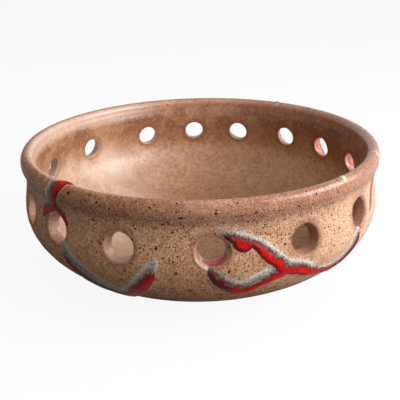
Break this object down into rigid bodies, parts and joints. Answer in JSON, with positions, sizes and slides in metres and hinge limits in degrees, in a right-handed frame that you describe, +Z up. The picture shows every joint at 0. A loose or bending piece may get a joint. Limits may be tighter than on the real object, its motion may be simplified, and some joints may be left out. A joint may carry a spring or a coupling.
{
  "type": "ceramic bowl",
  "caption": "Wheel-thrown stoneware bowl with a rolled rim, a ring of round holes through the wall and raised runs of red glaze.",
  "frame": {"origin": "centre of the foot ring on the table", "axes": "+Z up along the bowl's axis; -Y is the front, the side with the forked red run"},
  "size_m": [0.2406, 0.2414, 0.0897],
  "materials": {
    "speckled_glaze": "satin tan glaze with iron specks, breaking red-brown at edges",
    "red_glaze": "glossy red with a grey and cream border",
    "cream_glaze": "glossy cream"
  },
  "bodies": {
    "root": {"bowl_body": "speckled_glaze", "glaze_run_left_rim": "red_glaze", "glaze_run_left_base": "red_glaze", "glaze_run_front": "red_glaze", "glaze_run_right_rim": "red_glaze", "glaze_run_back": "red_glaze", "glaze_drip_lip": "cream_glaze"}
  },
  "joints": []
}
